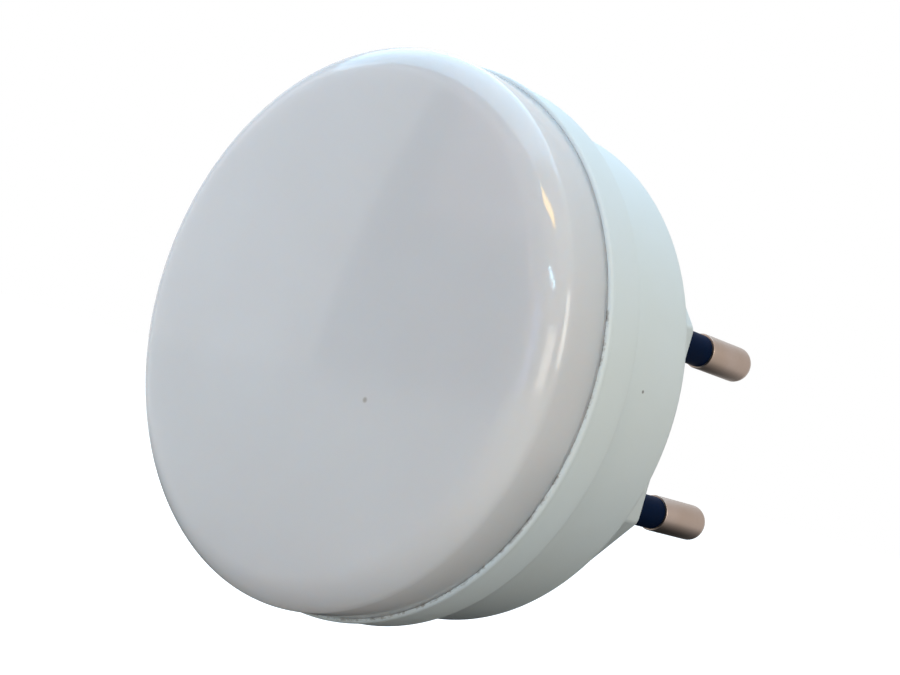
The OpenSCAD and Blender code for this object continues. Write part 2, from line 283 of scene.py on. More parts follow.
def seam_dirt_and_shade(tree, position, reach_mm, least):
    """Patchy seam dirt and painted seam shade within a reach of the seam, where patches of noise pass
    the least value.
    """
    y = add(tree, "SeparateXYZ", {0: position}).outputs["Y"]
    offset = add(tree, "Math", {0: y, 1: SEAM_Y * MM}, operation="SUBTRACT").outputs[0]
    distance = add(tree, "Math", {0: offset}, operation="ABSOLUTE").outputs[0]
    line = add(tree, "MapRange", {"Value": distance, "From Max": reach_mm * MM,
                                  "To Min": 1.0, "To Max": 0.0})
    # The dark seam line is kept to the lower right, where it is partly brown dirt and partly painted
    # shade of the seam's gap
    middle = Vector((math.cos(DIRT_AND_SHADE_MIDDLE), 0, math.sin(DIRT_AND_SHADE_MIDDLE)))
    turn = add(tree, "VectorMath", {0: position, 1: middle / (SEAM_R * MM)}, operation="DOT_PRODUCT")
    lower_right = add(tree, "MapRange", {"Value": turn.outputs["Value"], "From Min": DIRT_AND_SHADE_ENDS[0],
                                     "From Max": DIRT_AND_SHADE_ENDS[1]})
    near = add(tree, "Math", {0: line.outputs[0], 1: lower_right.outputs[0]}, operation="MULTIPLY")
    patches = add(tree, "TexNoise", {"Vector": position, "Scale": per_metre(DIRT_AND_SHADE_PATCH),
                                     "Detail": 5.0, "Roughness": 0.75})
    dirt_and_shade = add(tree, "Math", {0: near.outputs[0], 1: patches.outputs["Fac"]}, operation="MULTIPLY")
    return add(tree, "MapRange", {
        "Value": dirt_and_shade.outputs[0], "From Min": least, "From Max": least + DIRT_AND_SHADE_SOFTNESS,
        "To Max": DIRT_AND_SHADE_MOST}).outputs[0]


print(f"seam at y {SEAM_Y} mm, grime round {math.degrees(DIRT_AND_SHADE_MIDDLE):.0f} degrees")

# %% [markdown]
# ## Opal acrylic
#
# The front is PMMA with white pigment, injection moulded in a polished tool. It looks like milk
# glass: light enters a few millimetres and comes out soft, while the skin keeps a clear gloss. A
# clear shader would show the parts inside and a plain gloss would look like porcelain, so the light
# is scattered below the skin. A faint ripple from the flow in the mould, wiping marks and a speck of
# dust break up the gloss.

# %% Opal acrylic
DUST_PLACE = (8.98, -46.38, -5.94)
DUST_R = 0.32


def opal_acrylic():
    material, tree, shader, position = new_material("opal_acrylic")
    cloud = add(tree, "TexNoise", {"Vector": position, "Scale": per_metre(18), "Detail": 2.0})
    body = drifting_colour(tree, cloud, span=(0.3, 0.7), colours=("#DFDDE3", "#DBD8DD"))
    dust = speck(tree, position, DUST_PLACE, DUST_R)
    dusty = add(tree, "Mix", {"Factor": dust, "A": body, "B": linear("#B5AFAE")}, data_type="RGBA")
    # Brown dirt in the seam, with painted shade of the seam's gap on the lower right in the same colour
    dirt_and_shade = seam_dirt_and_shade(tree, position, reach_mm=0.6, least=0.42)
    with_dirt_and_shade = add(tree, "Mix", {"Factor": dirt_and_shade, "A": dusty.outputs["Result"],
                              "B": linear(SEAM_DIRT_AND_SHADE_COLOUR)}, data_type="RGBA")
    tree.links.new(with_dirt_and_shade.outputs["Result"], shader.inputs["Base Color"])
    smears = add(tree, "TexNoise", {"Vector": position, "Scale": per_metre(9), "Detail": 6.0,
                                    "Distortion": 0.4})
    uneven_gloss(tree, shader, smears, span=(0.35, 0.7), roughness=(0.07, 0.11))
    ripple = add(tree, "TexNoise", {"Vector": position, "Scale": per_metre(7), "Detail": 1.0})
    bump = add(tree, "Bump", {"Height": ripple.outputs["Fac"], "Strength": 0.25, "Distance": 0.02 * MM})
    tree.links.new(bump.outputs["Normal"], shader.inputs["Normal"])
    shader.inputs["IOR"].default_value = 1.49
    shader.inputs["Subsurface Weight"].default_value = 0.75
    shader.inputs["Subsurface Radius"].default_value = (1.0, 0.8, 0.7)
    shader.inputs["Subsurface Scale"].default_value = 6.0 * MM
    return finished(material)


OPAL = opal_acrylic()

# %% [markdown]
# ## The opal front
#
# The front is one moulded shell: a straight side, a soft corner, a rounded edge and a shallow dome.
# It could be a squashed sphere on a ring, but the photograph's highlights follow the edge, so each
# arc starts where the last one ends and shares its tangent. Behind the rim a tongue runs in a groove
# of the collar, so the seam stays open for the travel of the press but shows no deep gap. Inside are
# a shelf for the reflector tray and a skirt that carries three snap hooks.

# %% Build the opal front
front_low, front_high = box_corners("diffuser")
FRONT_R = front_high.x
FRONT_CREST_Y = front_low.y
SKIRT_END_Y = front_high.y
CORNER_Y = -42.7
CORNER_R = 1.5
EDGE_R = 3.8
EDGE_LEAN = 30
WALL = 1.8
RIM_Y = SEAM_Y - 0.28
RIM_ROUND = 0.08
TONGUE_R = 25.97
TONGUE_Y = SEAM_Y + 0.2
SKIRT_R = 23.85
SKIRT_WALL = 1.3
SHELF_FRONT_Y = -40.3
SHELF_BACK_Y = -38.8
SHELF_WALL = 1.0


def build_front():
    lean = math.radians(EDGE_LEAN)
    edge_r = FRONT_R - CORNER_R - (EDGE_R - CORNER_R) * math.cos(lean)
    edge_y = CORNER_Y + (EDGE_R - CORNER_R) * math.sin(lean)
    depth = edge_y - FRONT_CREST_Y
    dome_r = (edge_r ** 2 + depth ** 2 - EDGE_R ** 2) / (2 * (depth - EDGE_R))
    centre_y = FRONT_CREST_Y + dome_r
    tangent = math.degrees(math.acos(edge_r / (dome_r - EDGE_R)))
    inner_r = FRONT_R - WALL
    bore_r = SKIRT_R - SKIRT_WALL
    profile = arc(FRONT_R - RIM_ROUND, RIM_Y - RIM_ROUND, RIM_ROUND, -90, 0, 4)
    profile += arc(FRONT_R - CORNER_R, CORNER_Y, CORNER_R, 0, EDGE_LEAN, 8)
    profile += arc(edge_r, edge_y, EDGE_R, EDGE_LEAN, tangent, 16)[1:]
    profile += arc(0, centre_y, dome_r, tangent, 90, 30)[1:]
    profile += arc(0, centre_y, dome_r - WALL, 90, tangent, 30)
    profile += arc(edge_r, edge_y, EDGE_R - WALL, tangent, EDGE_LEAN, 8)[1:]
    profile += [(inner_r, SHELF_FRONT_Y), (bore_r - SHELF_WALL, SHELF_FRONT_Y)]
    profile += [(bore_r - SHELF_WALL, SHELF_BACK_Y), (bore_r, SHELF_BACK_Y), (bore_r, SKIRT_END_Y)]
    profile += [(SKIRT_R, SKIRT_END_Y), (SKIRT_R, SHELF_BACK_Y), (inner_r, SHELF_BACK_Y)]
    profile += [(inner_r, TONGUE_Y), (TONGUE_R, TONGUE_Y), (TONGUE_R, RIM_Y)]
    print(f"the dome's radius is {dome_r:.1f} mm, and it meets the edge at {tangent:.1f} degrees")
    return spin("opal_front", profile)


opal_front = build_front()
place(opal_front, "front", "opal_front", OPAL, "diffuser")

# %% [markdown]
# ## White moulded housing
#
# Collar and rear housing are white ABS from a tool with a fine spark-eroded skin. The skin spreads
# highlights to a soft sheen. A flat white would look like paper, so the tone drifts a little every
# centimetre or so, and a fine grit breaks up the gloss. Brown dirt in the seam also carries painted
# shade of the seam's gap round the lower right, and one dot of dirt sits on the rear housing.

# %% Moulded ABS
DOT_PLACE = (24.5, -29.59, 1.51)
DOT_R = 0.2


def moulded_abs():
    material, tree, shader, position = new_material("moulded_white_abs")
    cloud = add(tree, "TexNoise", {"Vector": position, "Scale": per_metre(14), "Detail": 3.0})
    body = drifting_colour(tree, cloud, span=(0.35, 0.7), colours=("#DFE8EE", "#DDE5E8"))
    dot = speck(tree, position, DOT_PLACE, DOT_R)
    dotted = add(tree, "Mix", {"Factor": dot, "A": body, "B": linear("#7F8182")}, data_type="RGBA")
    # Brown dirt in the seam, with painted shade of the seam's gap on the lower right in the same colour
    dirt_and_shade = seam_dirt_and_shade(tree, position, reach_mm=0.3, least=0.45)
    with_dirt_and_shade = add(tree, "Mix", {"Factor": dirt_and_shade, "A": dotted.outputs["Result"],
                              "B": linear(SEAM_DIRT_AND_SHADE_COLOUR)}, data_type="RGBA")
    tree.links.new(with_dirt_and_shade.outputs["Result"], shader.inputs["Base Color"])
    uneven_gloss(tree, shader, cloud, span=(0.3, 0.7), roughness=(0.46, 0.54))
    # The real grit of the skin is about 0.05 mm and can't be seen from here, so it is drawn at 0.3 mm
    grit = add(tree, "TexNoise", {"Vector": position, "Scale": per_metre(0.3), "Detail": 2.0})
    bump = add(tree, "Bump", {"Height": grit.outputs["Fac"], "Strength": 0.12, "Distance": 0.03 * MM})
    tree.links.new(bump.outputs["Normal"], shader.inputs["Normal"])
    shader.inputs["IOR"].default_value = 1.53
    shader.inputs["Specular IOR Level"].default_value = 0.35
    return finished(material)


ABS = moulded_abs()

# %% [markdown]
# ## Collar
#
# The collar's front lip stands 0.35 mm proud of the front and catches a thin line of light along the
# seam. A plain ring would miss that line, so the spun profile gives the lip its own rounded edge.
# Behind the lip the wall is drawn in by 0.1 mm and narrows a little more to the back. Its floor
# seats the circuit board, its spigot enters the rear housing, and three pockets in its bore take the
# hooks. The pockets aren't round, so a boolean cuts them.

# %% Cut and join pieces


def bake_modifiers(piece):
    """Replaces a piece's mesh by what its modifiers make of it."""
    bpy.context.view_layer.update()
    evaluated = piece.evaluated_get(bpy.context.evaluated_depsgraph_get())
    data = bpy.data.meshes.new_from_object(evaluated)
    piece.modifiers.clear()
    piece.data = data
    smooth(data)


def cut_or_join(piece, other, operation):
    """Applies a boolean of the other piece to the first one, and removes the other."""
    modifier = piece.modifiers.new("boolean", "BOOLEAN")
    modifier.operation = operation
    modifier.solver = "EXACT"
    modifier.object = other
    bake_modifiers(piece)
    bpy.data.objects.remove(other)
    print(f"{piece.name} after {operation.lower()}: {len(piece.data.polygons)} faces")


# %% Shape the hooks and their pockets
HOOKS = 3
HOOK_ANGLE = 14
HOOK_REACH = 1.0
HOOK_H = 1.2
POCKET_ANGLE = 17
POCKET_R = 25.15
POCKET_DEPTH = 0.5
POCKET_BACK_Y = -34.4
POCKET_FRONT_Y = -36.2
SECTOR_STEPS = 8


def sector(name, r_in, r_out, y_back, y_front, angle, slope):
    """One block between two radii, as wide as the angle, repeated at each hook's place."""
    mesh = bmesh.new()
    outline = [(r_in, y_back), (r_out - slope, y_back), (r_out, y_back - slope), (r_out, y_front),
               (r_in, y_front)]
    if not slope:
        outline.pop(1)
    for hook in range(HOOKS):
        middle = 90 + hook * 360 / HOOKS
        rows = []
        for i in range(SECTOR_STEPS + 1):
            turn = math.radians(middle + angle * (i / SECTOR_STEPS - 0.5))
            rows.append([mesh.verts.new((r * MM * math.cos(turn), y * MM, -r * MM * math.sin(turn)))
                         for r, y in outline])
        for row, following in zip(rows, rows[1:]):
            for k in range(len(outline)):
                j = (k + 1) % len(outline)
                mesh.faces.new([row[k], row[j], following[j], following[k]])
        mesh.faces.new(rows[0])
        mesh.faces.new(rows[-1])
    bmesh.ops.recalc_face_normals(mesh, faces=mesh.faces)
    return to_object(name, mesh)


print(f"{HOOKS} hooks of {HOOK_ANGLE} degrees in pockets of {POCKET_ANGLE} degrees")

# %% Build the collar
collar_high = box_corners("collar")[1]
COLLAR_R = collar_high.x
SPIGOT_END_Y = collar_high.y
COLLAR_BACK_Y = -33.5
COLLAR_EDGE_R = 0.4
COLLAR_BACK_R = COLLAR_R - 0.175
BEHIND_LIP_R = COLLAR_R - 0.1
TAPER_END_Y = COLLAR_BACK_Y - 1.15
LIP_LEN = 0.8
LIP_EDGE_R = 0.34
COLLAR_BORE_R = 24.15
GROOVE_R = 25.98
GROOVE_Y = SEAM_Y + 0.6
FLOOR_Y = -34.4
SPIGOT_R = 22.7
SPIGOT_WALL = 1.9


def build_collar():
    r = COLLAR_EDGE_R
    lip = LIP_EDGE_R
    profile = [(SPIGOT_R, COLLAR_BACK_Y)]
    profile += arc(COLLAR_BACK_R - r, COLLAR_BACK_Y - r, r, -90, 0, 6)
    profile += [(COLLAR_BACK_R, TAPER_END_Y), (BEHIND_LIP_R, SEAM_Y + LIP_LEN)]
    profile += arc(COLLAR_R - lip, SEAM_Y + LIP_LEN - lip, lip, -45, 0, 4)
    profile += arc(COLLAR_R - lip, SEAM_Y + lip, lip, 0, 90, 6)
    profile += [(GROOVE_R, SEAM_Y), (GROOVE_R, GROOVE_Y), (COLLAR_BORE_R, GROOVE_Y)]
    profile += [(COLLAR_BORE_R, FLOOR_Y), (SPIGOT_R - SPIGOT_WALL, FLOOR_Y)]
    profile += [(SPIGOT_R - SPIGOT_WALL, SPIGOT_END_Y), (SPIGOT_R, SPIGOT_END_Y)]
    piece = spin("white_collar", profile)
    pockets = sector("pockets", COLLAR_BORE_R - POCKET_DEPTH, POCKET_R, POCKET_BACK_Y,
                     POCKET_FRONT_Y, POCKET_ANGLE, 0)
    cut_or_join(piece, pockets, "DIFFERENCE")
    return piece


white_collar = build_collar()
place(white_collar, "housing", "white_housing", ABS, "collar")

snap_hooks = sector("snap_hooks", SKIRT_R - SKIRT_WALL / 2, SKIRT_R + HOOK_REACH, SKIRT_END_Y,
                    SKIRT_END_Y - HOOK_H, HOOK_ANGLE, HOOK_REACH / 2)
place(snap_hooks, "front", "opal_front", OPAL)

# %% [markdown]
# ## Rear housing and neck
#
# Behind the collar the housing steps in by 1.6 mm. Its back is flat, and the neck stands out of it:
# a long shape with eight corners that fits the recess of a socket. Two pieces pushed into each other
# would show a line, so the cup is spun, the neck is extruded with bevelled edges, and a boolean
# joins the two, which keeps one skin as on the moulding.

# %% Build the rear housing
REAR_R = 24.55
REAR_BACK_Y = -23.5
REAR_EDGE_R = 1.0
REAR_BORE_R = 22.75
BACK_WALL = 2.0
NECK_HALF_W = 6.85
NECK_HALF_SPAN = 17.65
NECK_HALF_FLAT = 10.5
NECK_HALF_TIP = 0.7
NECK_ROUND = 0.35
NECK_BEVEL_ABOVE = math.radians(20)
FACE_CHAMFER = 0.8
FACE_WALL = 3.0
SLEEVE_HOLE_R = 1.83
HOLE_SIDES = 48
pin_low, pin_high = box_corners("pin_upper")
PIN_Z = (pin_low.z + pin_high.z) / 2


def neck_outline(inset):
    """The neck's eight corners (x, z), drawn in from the outside by the inset."""
    w, span = NECK_HALF_W - inset, NECK_HALF_SPAN - inset
    flat, tip = NECK_HALF_FLAT - inset / 2, NECK_HALF_TIP
    half = [(w, flat), (tip, span), (-tip, span), (-w, flat)]
    return half + [(-x, -z) for x, z in half]


def extrude(name, rings):
    """A closed solid through rings of (corners, y)."""
    mesh = bmesh.new()
    rows = [[mesh.verts.new((x * MM, y * MM, z * MM)) for x, z in corners] for corners, y in rings]
    for row, following in zip(rows, rows[1:]):
        for i in range(len(row)):
            j = (i + 1) % len(row)
            mesh.faces.new([row[i], row[j], following[j], following[i]])
    mesh.faces.new(rows[0])
    mesh.faces.new(rows[-1])
    bmesh.ops.recalc_face_normals(mesh, faces=mesh.faces)
    return to_object(name, mesh)


def build_neck():
    neck = extrude("neck", [(neck_outline(0), REAR_BACK_Y - BACK_WALL / 2),
                            (neck_outline(0), -FACE_CHAMFER), (neck_outline(FACE_CHAMFER), 0)])
    soften = neck.modifiers.new("soften", "BEVEL")
    soften.width = NECK_ROUND * MM
    soften.segments = 3
    soften.limit_method = "ANGLE"
    soften.angle_limit = NECK_BEVEL_ABOVE
    bake_modifiers(neck)
    return neck


def build_rear():
    r = REAR_EDGE_R
    profile = [(0, REAR_BACK_Y)]
    profile += arc(REAR_R - r, REAR_BACK_Y - r, r, -90, 0, 10)
    profile += [(REAR_R, COLLAR_BACK_Y), (REAR_BORE_R, COLLAR_BACK_Y)]
    profile += [(REAR_BORE_R, REAR_BACK_Y - BACK_WALL), (0, REAR_BACK_Y - BACK_WALL)]
    cup = spin("white_rear_housing", profile)
    cut_or_join(cup, build_neck(), "UNION")
    hollow = extrude("hollow", [(neck_outline(WALL), REAR_BACK_Y - 2 * BACK_WALL),
                                (neck_outline(WALL), -FACE_WALL)])
    cut_or_join(cup, hollow, "DIFFERENCE")
    through = [(0, 1), (SLEEVE_HOLE_R, 1), (SLEEVE_HOLE_R, -2 * FACE_WALL), (0, -2 * FACE_WALL)]
    for side in (-1, 1):
        drill = spin("drill", through, side * PIN_Z, HOLE_SIDES)
        cut_or_join(cup, drill, "DIFFERENCE")
    return cup


white_rear = build_rear()
place(white_rear, "housing", "white_housing", ABS, "rear_housing")

# %% [markdown]
# ## Pins and sleeves
#
# Each pin is turned brass with a dull nickel plate. Only its end is bare; the rest wears a moulded
# black sleeve, so that a half-pulled plug can't be touched on live metal. A painted ring on the pin
# would do from afar, but the real sleeve lies a little below the bare end's surface, and that small
# step casts a shadow, so pin and sleeve are two pieces.

# %% Nickel plate and sleeve plastic


def nickel_plate():
    material, tree, shader, position = new_material("nickel_plate")
    # Turning leaves rings about 0.1 mm apart, too fine to show from here, so they are drawn at 0.18 mm
    turned = add(tree, "Mapping", {"Vector": position, "Scale": (40, per_metre(0.18), 40)}).outputs[0]
    rings = add(tree, "TexNoise", {"Vector": turned, "Scale": 1.0, "Detail": 3.0})
    stains = add(tree, "TexNoise", {"Vector": position, "Scale": per_metre(5), "Detail": 3.0})
    colour = drifting_colour(tree, stains, span=(0.35, 0.72), colours=("#A5948A", "#9D8A7C"))
    tree.links.new(colour, shader.inputs["Base Color"])
    uneven_gloss(tree, shader, rings, span=(0.3, 0.7), roughness=(0.34, 0.4))
    bump = add(tree, "Bump", {"Height": rings.outputs["Fac"], "Strength": 0.1, "Distance": 0.005 * MM})
    tree.links.new(bump.outputs["Normal"], shader.inputs["Normal"])
    shader.inputs["Metallic"].default_value = 1.0
    return finished(material)


def sleeve_nylon():
    material, tree, shader, position = new_material("black_nylon")
    scuffs = add(tree, "TexNoise", {"Vector": position, "Scale": per_metre(1.2), "Detail": 5.0,
                                    "Roughness": 0.7})
    colour = drifting_colour(tree, scuffs, span=(0.4, 0.75), colours=("#03132E", "#061A38"))
    tree.links.new(colour, shader.inputs["Base Color"])
    uneven_gloss(tree, shader, scuffs, span=(0.3, 0.7), roughness=(0.52, 0.64))
    shader.inputs["IOR"].default_value = 1.53
    # The photograph's sleeves swallow all light, so the skin hardly reflects
    shader.inputs["Specular IOR Level"].default_value = 0.02
    return finished(material)


NICKEL = nickel_plate()
NYLON = sleeve_nylon()

# %% Build pins and sleeves
PIN_R = 2.0
PIN_END_Y = pin_high.y
PIN_END_R = 1.4
PIN_CORE_R = 1.5
SHOULDER_Y = 10.5
SHOULDER_EDGE_R = 0.08
SLEEVE_R = 1.8
SLEEVE_END_Y = 10.45
SLEEVE_EDGE_R = 0.12
SLEEVE_CLEARANCE = 0.05
FLANGE_Y = -3.0
FLANGE_R = 2.7
STRIP_Y = -4.2
STUD_R = 1.3
RIVET_R = 2.2
RIVET_Y = -4.7
PIN_INNER_Y = -5.7
SMALL_SIDES = 96


def build_pin(name, axis_z):
    e = SHOULDER_EDGE_R
    profile = [(0, PIN_INNER_Y), (RIVET_R, PIN_INNER_Y), (RIVET_R, RIVET_Y), (STUD_R, RIVET_Y)]
    profile += [(STUD_R, STRIP_Y), (FLANGE_R, STRIP_Y), (FLANGE_R, FLANGE_Y)]
    profile += [(PIN_CORE_R, FLANGE_Y), (PIN_CORE_R, SHOULDER_Y)]
    profile += arc(PIN_R - e, SHOULDER_Y + e, e, 90, 0, 3)
    profile += arc(PIN_R - PIN_END_R, PIN_END_Y - PIN_END_R, PIN_END_R, 0, -90, 12)
    profile += [(0, PIN_END_Y)]
    return spin(name, profile, axis_z, SMALL_SIDES)


def build_sleeve(name, axis_z):
    e = SLEEVE_EDGE_R
    bore_r = PIN_CORE_R + SLEEVE_CLEARANCE
    profile = [(bore_r, -FACE_WALL), (SLEEVE_R, -FACE_WALL)]
    profile += arc(SLEEVE_R - e, SLEEVE_END_Y - e, e, 0, -90, 4)
    profile += [(bore_r, SLEEVE_END_Y)]
    return spin(name, profile, axis_z, SMALL_SIDES)


for level, side in (("upper", 1), ("lower", -1)):
    pin = build_pin(f"plated_pin_{level}", side * PIN_Z)
    place(pin, "housing", "plated_pin", NICKEL, f"pin_{level}")
    sleeve = build_sleeve(f"black_sleeve_{level}", side * PIN_Z)
    place(sleeve, "housing", "black_sleeve", NYLON, f"sleeve_{level}")

# %% [markdown]
# ## Parts inside
#
# Nothing inside shows in the photograph, but the light can be taken apart, so each inner part wears
# what such a part is made of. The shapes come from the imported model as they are. Most are plain
# plastics or coats that differ only in colour, gloss and the size of their skin's bumps, so one
# function makes them all. Metals, the board, the LEDs and the resistors have patterns of their own.

# %% Plain plastics and coats
GLOSS_DRIFT = 0.05


def plain_plastic(name, colour, second, patch_mm, skin_mm, roughness):
    """A moulded, potted or shrunk-on plastic whose tone drifts a little from patch to patch."""
    material, tree, shader, position = new_material(name)
    patches = add(tree, "TexNoise", {"Vector": position, "Scale": per_metre(patch_mm), "Detail": 4.0})
    body = drifting_colour(tree, patches, span=(0.35, 0.7), colours=(colour, second))
    tree.links.new(body, shader.inputs["Base Color"])
    uneven_gloss(tree, shader, patches, span=(0.3, 0.7),
                 roughness=(roughness - GLOSS_DRIFT, roughness + GLOSS_DRIFT))
    skin = add(tree, "TexNoise", {"Vector": position, "Scale": per_metre(skin_mm), "Detail": 2.0})
    bump = add(tree, "Bump", {"Height": skin.outputs["Fac"], "Strength": 0.15, "Distance": 0.03 * MM})
    tree.links.new(bump.outputs["Normal"], shader.inputs["Normal"])
    shader.inputs["IOR"].default_value = 1.55
    return finished(material)


WHITE_TRAY = plain_plastic("matt_white_polycarbonate", "#F0F0EE", "#E6E6E2",
                           patch_mm=12, skin_mm=0.4, roughness=0.6)
BLACK_CASE = plain_plastic("black_moulded_epoxy", "#202124", "#2A2B2D",
                           patch_mm=4, skin_mm=0.3, roughness=0.5)
FIBRE_PLATE = plain_plastic("phenolic_paper_laminate", "#C9A878", "#B59160",
                            patch_mm=1.5, skin_mm=0.25, roughness=0.45)
YELLOW_CASE = plain_plastic("yellow_potted_polyester", "#E0C531", "#D2B526",
                            patch_mm=6, skin_mm=0.8, roughness=0.22)

# %% [markdown]
# ## Metals of the contacts and screws
#
# The contact strips are stamped from rolled brass, and the screws are steel with zinc plate. One
# even, shiny metal would be simpler, but rolling leaves a grain and air dulls the metal in patches.
# So one noise is stretched along Y for the grain, and a second one, with larger patches, turns the
# colour to tarnish.

# %% Rolled brass and plated steel
DULLER_BY = 0.12
GRAIN_ALONG = 60


def worn_metal(name, colour, tarnish, grain_mm, roughness):
    """A rolled or plated metal: fine grain, and patches where the surface has gone dull."""
    material, tree, shader, position = new_material(name)
    across = per_metre(grain_mm)
    rolled = add(tree, "Mapping", {"Vector": position, "Scale": (across, GRAIN_ALONG, across)})
    grain = add(tree, "TexNoise", {"Vector": rolled.outputs[0], "Scale": 1.0, "Detail": 3.0})
    patches = add(tree, "TexNoise", {"Vector": position, "Scale": per_metre(3), "Detail": 4.0})
    body = drifting_colour(tree, patches, span=(0.4, 0.75), colours=(colour, tarnish))
    tree.links.new(body, shader.inputs["Base Color"])
    uneven_gloss(tree, shader, grain, span=(0.3, 0.7), roughness=(roughness, roughness + DULLER_BY))
    bump = add(tree, "Bump", {"Height": grain.outputs["Fac"], "Strength": 0.12, "Distance": 0.01 * MM})
    tree.links.new(bump.outputs["Normal"], shader.inputs["Normal"])
    shader.inputs["Metallic"].default_value = 1.0
    return finished(material)


BRASS = worn_metal("rolled_brass", "#D9BE7A", "#B08F50", grain_mm=0.2, roughness=0.25)
ZINC = worn_metal("zinc_plated_steel", "#C9CBCC", "#A9ABA8", grain_mm=0.15, roughness=0.3)

# %% [markdown]
# ## Circuit board
#
# The board is glass laminate under a green solder mask, which is lighter over copper and darker in
# the gaps between zones of copper. Tracks could be drawn one by one, but nobody has seen this
# board's, so Voronoi cells of 6 mm stand for the zones, and their borders for the gaps.

# %% Solder mask
COPPER_ZONE = 6
COPPER_GAP = 0.3


def solder_mask():
    """Green mask: lighter over zones of copper, darker over the bare gaps between them."""
    material, tree, shader, position = new_material("solder_masked_laminate")
    zones = add(tree, "TexVoronoi", {"Vector": position, "Scale": per_metre(COPPER_ZONE),
                                     "Randomness": 0.8}, feature="DISTANCE_TO_EDGE")
    gap = COPPER_GAP / 2 / COPPER_ZONE
    copper = add(tree, "MapRange", {"Value": zones.outputs["Distance"], "From Min": gap,
                                    "From Max": gap * 1.3})
    body = add(tree, "Mix", {"Factor": copper.outputs[0], "A": linear("#17402A"),
                             "B": linear("#2C6B45")}, data_type="RGBA")
    tree.links.new(body.outputs["Result"], shader.inputs["Base Color"])
    bump = add(tree, "Bump", {"Height": copper.outputs[0], "Strength": 0.4, "Distance": 0.035 * MM})
    tree.links.new(bump.outputs["Normal"], shader.inputs["Normal"])
    shader.inputs["Roughness"].default_value = 0.3
    shader.inputs["IOR"].default_value = 1.55
    return finished(material)


BOARD = solder_mask()

# %% [markdown]
# ## LEDs
#
# Each LED is a white ceramic package with a round window of yellow phosphor gel. The four packages
# share one mesh and sit on the corners of a square. A window could be drawn at each corner, but the
# coordinates without their signs fold the four places into one, so one window serves all.

# %% Ceramic and phosphor
LED_PLACE = 9.19
LED_WINDOW_R = 1.8
LED_WINDOW_EDGE = 0.05


def led_package():
    """White ceramic packages with a round window of yellow phosphor gel in the middle of each."""
    material, tree, shader, position = new_material("ceramic_and_phosphor")
    corner = add(tree, "VectorMath", {0: position}, operation="ABSOLUTE").outputs[0]
    flat = add(tree, "VectorMath", {0: corner, 1: (1, 0, 1)}, operation="MULTIPLY").outputs[0]
    middle = Vector((LED_PLACE, 0, LED_PLACE)) * MM
    reach = add(tree, "VectorMath", {0: flat, 1: middle}, operation="DISTANCE").outputs["Value"]
    window = add(tree, "MapRange", {
        "Value": reach, "From Min": (LED_WINDOW_R - LED_WINDOW_EDGE) * MM,
        "From Max": LED_WINDOW_R * MM, "To Min": 1.0, "To Max": 0.0}).outputs[0]
    grains = add(tree, "TexNoise", {"Vector": position, "Scale": per_metre(0.2), "Detail": 2.0})
    gel = add(tree, "Mix", {"Factor": grains.outputs["Fac"], "A": linear("#E8CF4A"),
                            "B": linear("#F3E27C")}, data_type="RGBA")
    body = add(tree, "Mix", {"Factor": window, "A": linear("#F2F1EC"), "B": gel.outputs["Result"]},
               data_type="RGBA")
    tree.links.new(body.outputs["Result"], shader.inputs["Base Color"])
    gloss = add(tree, "MapRange", {"Value": window, "To Min": 0.4, "To Max": 0.15}).outputs[0]
    tree.links.new(gloss, shader.inputs["Roughness"])
    return finished(material)


LED_FACE = led_package()

# %% [markdown]
# ## Electrolytic capacitor
#
# The can is aluminium in a blue PVC sleeve that shrinks over its rim and leaves the top bare. A
# second piece could be the sleeve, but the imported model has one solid, so the height alone decides
# where plastic turns to metal.

# %% Sleeved can
CAN_TOP_Y = box_corners("smoothing_capacitor")[1].y
SLEEVE_LIP = (0.06, 0.04)


def capacitor_can():
    """An aluminium can in a blue PVC sleeve that shrinks over its rim and leaves the top bare."""
    material, tree, shader, position = new_material("blue_pvc_sleeve_on_aluminium")
    y = add(tree, "SeparateXYZ", {0: position}).outputs["Y"]
    top = add(tree, "MapRange", {"Value": y, "From Min": (CAN_TOP_Y - SLEEVE_LIP[0]) * MM,
                                 "From Max": (CAN_TOP_Y - SLEEVE_LIP[1]) * MM})
    brushed = add(tree, "TexNoise", {"Vector": position, "Scale": per_metre(0.4), "Detail": 4.0})
    metal = add(tree, "Mix", {"Factor": brushed.outputs["Fac"], "A": linear("#B9BBBD"),
                              "B": linear("#D6D7D8")}, data_type="RGBA")
    sleeve = add(tree, "Mix", {"Factor": brushed.outputs["Fac"], "A": linear("#1D3A74"),
                               "B": linear("#25458A")}, data_type="RGBA")
    body = add(tree, "Mix", {"Factor": top.outputs[0], "A": sleeve.outputs["Result"],
                             "B": metal.outputs["Result"]}, data_type="RGBA")
    tree.links.new(body.outputs["Result"], shader.inputs["Base Color"])
    tree.links.new(top.outputs[0], shader.inputs["Metallic"])
    shader.inputs["Roughness"].default_value = 0.28
    return finished(material)


CAN = capacitor_can()

# %% [markdown]
# ## Resistors
#
# Both kinds are rods in coloured lacquer, with painted rings and tinned wire leads. Rings made as
# pieces would stand proud, where real ones are only paint, so a colour ramp along the body draws
# them.

# %% Lacquer and painted rings
RESISTOR_X = 10.2
FIRST_BAND = 0.2
BAND_STEP = 0.17
BAND_WIDTH = 0.07
END_MARGIN = 0.02


